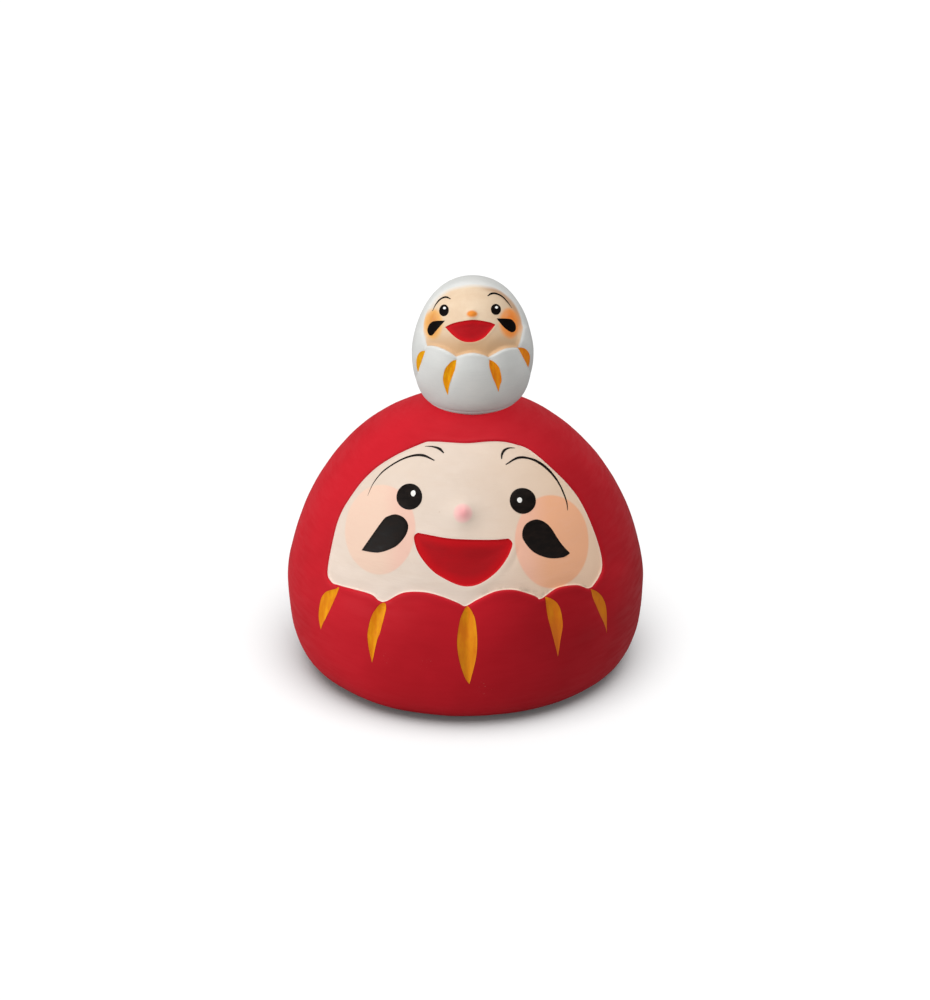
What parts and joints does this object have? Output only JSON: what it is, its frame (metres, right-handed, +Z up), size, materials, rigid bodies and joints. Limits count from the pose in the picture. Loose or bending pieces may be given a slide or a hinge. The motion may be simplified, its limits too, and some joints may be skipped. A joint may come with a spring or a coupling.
{
  "type": "daruma doll",
  "caption": "Squat round-based papier-mache daruma doll with a smiling recessed face, carrying a small daruma doll that turns and lifts off on a dowel.",
  "frame": {"origin": "centre of the large doll's base, on the plane it stands on", "axes": "+Z up, the faces look towards -Y, +X to the right seen from the front"},
  "size_m": [0.158, 0.1584, 0.1764],
  "materials": {
    "red_paint": "matt red paint over papier-mache",
    "white_paint": "matt white paint over papier-mache",
    "cream_paint": "matt skin-tone paint",
    "blush_paint": "matt salmon paint",
    "apricot_paint": "airbrushed orange paint",
    "mouth_paint": "matt red paint",
    "pink_paint": "matt pink paint",
    "ochre_paint": "matt orange-brown paint",
    "black_ink": "satin black ink",
    "gold_paint": "satin ochre-gold paint",
    "glint_paint": "matt white paint",
    "bare_paper": "unpainted washi paper",
    "clay": "unglazed dried clay",
    "bare_wood": "bare softwood"
  },
  "bodies": {
    "large_daruma": {"large_front_shell": "red_paint", "large_back_shell": "red_paint", "large_base_disc": "bare_paper", "large_clay_weight": "clay", "crown_block": "bare_wood", "large_seam_strip_left": "bare_paper", "large_seam_strip_right": "bare_paper", "large_face_coat": "cream_paint", "large_mouth": "mouth_paint", "large_nose": "pink_paint", "large_cheek_left": "blush_paint", "large_cheek_right": "blush_paint", "large_eye_left": "black_ink", "large_eye_right": "black_ink", "large_eye_glint_left": "glint_paint", "large_eye_glint_right": "glint_paint", "large_whisker_left": "black_ink", "large_whisker_right": "black_ink", "large_brow_left_inner": "black_ink", "large_brow_left_outer": "black_ink", "large_brow_right_inner": "black_ink", "large_brow_right_outer": "black_ink", "large_gold_stroke_1": "gold_paint", "large_gold_stroke_2": "gold_paint", "large_gold_stroke_3": "gold_paint", "large_gold_stroke_4": "gold_paint", "large_gold_stroke_5": "gold_paint"},
    "locating_dowel": {"locating_dowel": "bare_wood"},
    "small_daruma": {"small_front_shell": "white_paint", "small_back_shell": "white_paint", "small_foot_disc": "white_paint", "small_clay_weight": "clay", "small_seam_strip_left": "bare_paper", "small_seam_strip_right": "bare_paper", "small_face_coat": "cream_paint", "small_mouth": "mouth_paint", "small_nose": "ochre_paint", "small_cheek_left": "apricot_paint", "small_cheek_right": "apricot_paint", "small_eye_left": "black_ink", "small_eye_right": "black_ink", "small_eye_glint_left": "glint_paint", "small_eye_glint_right": "glint_paint", "small_whisker_left": "black_ink", "small_whisker_right": "black_ink", "small_brow_left": "black_ink", "small_brow_right": "black_ink", "small_gold_stroke_1": "gold_paint", "small_gold_stroke_2": "gold_paint", "small_gold_stroke_3": "gold_paint", "small_gold_stroke_4": "gold_paint"}
  },
  "joints": [
    {"name": "small_daruma_turn", "type": "hinge", "parent": "large_daruma", "child": "locating_dowel", "pos_m": [0.003, 0, 0.1195], "axis": [0, 0, 1], "continuous": true},
    {"name": "small_daruma_lift", "type": "slide", "parent": "locating_dowel", "child": "small_daruma", "axis": [0, 0, 1], "range_m": [0, 0.05]}
  ]
}
